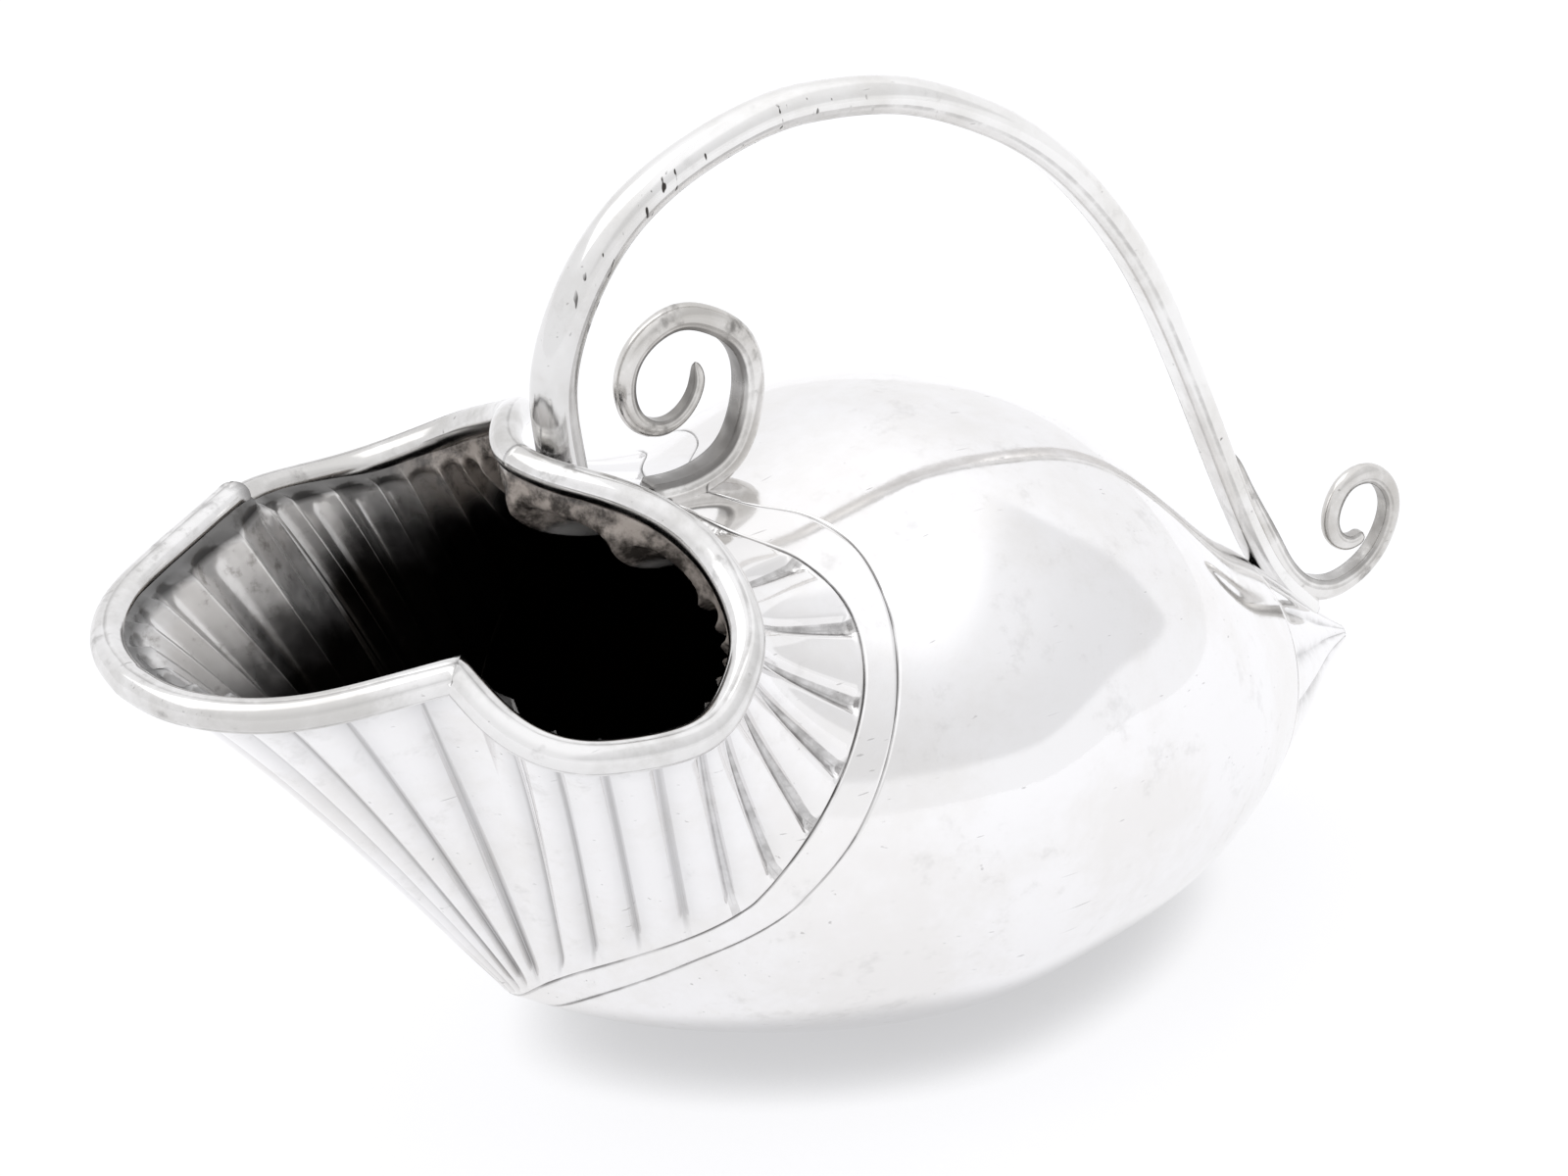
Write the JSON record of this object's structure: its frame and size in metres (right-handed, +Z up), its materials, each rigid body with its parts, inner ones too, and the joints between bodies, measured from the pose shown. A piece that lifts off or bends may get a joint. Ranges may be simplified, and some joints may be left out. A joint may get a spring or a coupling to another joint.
{
  "type": "cream jug",
  "caption": "Silver cream jug shaped like a wineskin: a plain bulb with a pointed tail, a fluted neck, a three-lobed wired mouth, and a high bow handle ending in scrolls.",
  "frame": {"origin": "in the middle plane, on the small flat under the bulb that the jug rests on", "axes": "+Z up; +X from the spout to the pointed tail, in the jug's middle plane; +Y across, the mirror direction"},
  "size_m": [0.151, 0.0712, 0.0969],
  "materials": {
    "polished_silver": "polished silver sheet with fine scratches, dark inside the mouth",
    "worn_silver": "silver wire, handled and lightly tarnished, dark in the joints"
  },
  "bodies": {
    "root": {"bulb": "polished_silver", "neck": "polished_silver", "tail_tip": "polished_silver", "rim_front": "worn_silver", "rim_left": "worn_silver", "rim_right": "worn_silver", "handle_bow": "worn_silver", "front_scroll": "worn_silver", "rear_scroll": "worn_silver"}
  },
  "joints": []
}
